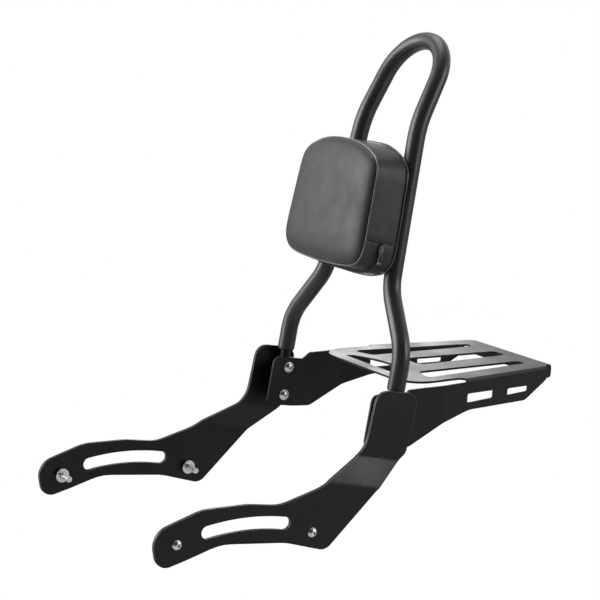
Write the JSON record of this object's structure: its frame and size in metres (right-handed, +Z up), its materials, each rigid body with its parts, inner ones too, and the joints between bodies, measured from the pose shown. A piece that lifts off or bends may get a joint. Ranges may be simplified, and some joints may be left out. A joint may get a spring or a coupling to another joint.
{
  "type": "sissy bar",
  "caption": "Motorcycle sissy bar: bent tube hoop on joggled side plates, with a zipped backrest pad and a slotted sheet-steel luggage rack behind it.",
  "frame": {"origin": "on the centre plane, midway between the front and rear fender bolts of both sides", "axes": "+X to the rear of the motorcycle, +Y to its right side, +Z up, square to the luggage deck"},
  "size_m": [0.7025, 0.355, 0.6755],
  "materials": {
    "powder_coat": "satin black powder coat",
    "tube_coat": "semi-gloss black",
    "bright_steel": "bright zinc plate",
    "leatherette": "black leatherette, fine grain",
    "piping": "smooth black leatherette",
    "plywood": "bare plywood",
    "zipper": "black nylon chain on tape",
    "puller": "black enamel"
  },
  "bodies": {
    "root": {"left_side_plate": "powder_coat", "right_side_plate": "powder_coat", "sissy_bar_hoop": "tube_coat", "left_tube_foot": "powder_coat", "right_tube_foot": "powder_coat", "luggage_rack": "powder_coat", "left_front_fender_bolt": "bright_steel", "left_front_spacer": "bright_steel", "left_rear_fender_bolt": "bright_steel", "left_rear_spacer": "bright_steel", "left_upper_arm_screw": "bright_steel", "left_upper_arm_washer": "bright_steel", "upper_left_pad_screw": "bright_steel", "upper_left_pad_washer": "bright_steel", "left_lower_arm_screw": "bright_steel", "left_lower_arm_washer": "bright_steel", "lower_left_pad_screw": "bright_steel", "lower_left_pad_washer": "bright_steel", "right_front_fender_bolt": "bright_steel", "right_front_spacer": "bright_steel", "right_rear_fender_bolt": "bright_steel", "right_rear_spacer": "bright_steel", "right_upper_arm_screw": "bright_steel", "right_upper_arm_washer": "bright_steel", "upper_right_pad_screw": "bright_steel", "upper_right_pad_washer": "bright_steel", "right_lower_arm_screw": "bright_steel", "right_lower_arm_washer": "bright_steel", "lower_right_pad_screw": "bright_steel", "lower_right_pad_washer": "bright_steel", "upper_pad_bar": "tube_coat", "lower_pad_bar": "tube_coat", "pad_backboard": "plywood", "pad_cushion": "leatherette", "front_piping": "piping", "rear_piping": "piping", "zipper": "zipper", "zipper_puller": "puller"}
  },
  "joints": []
}
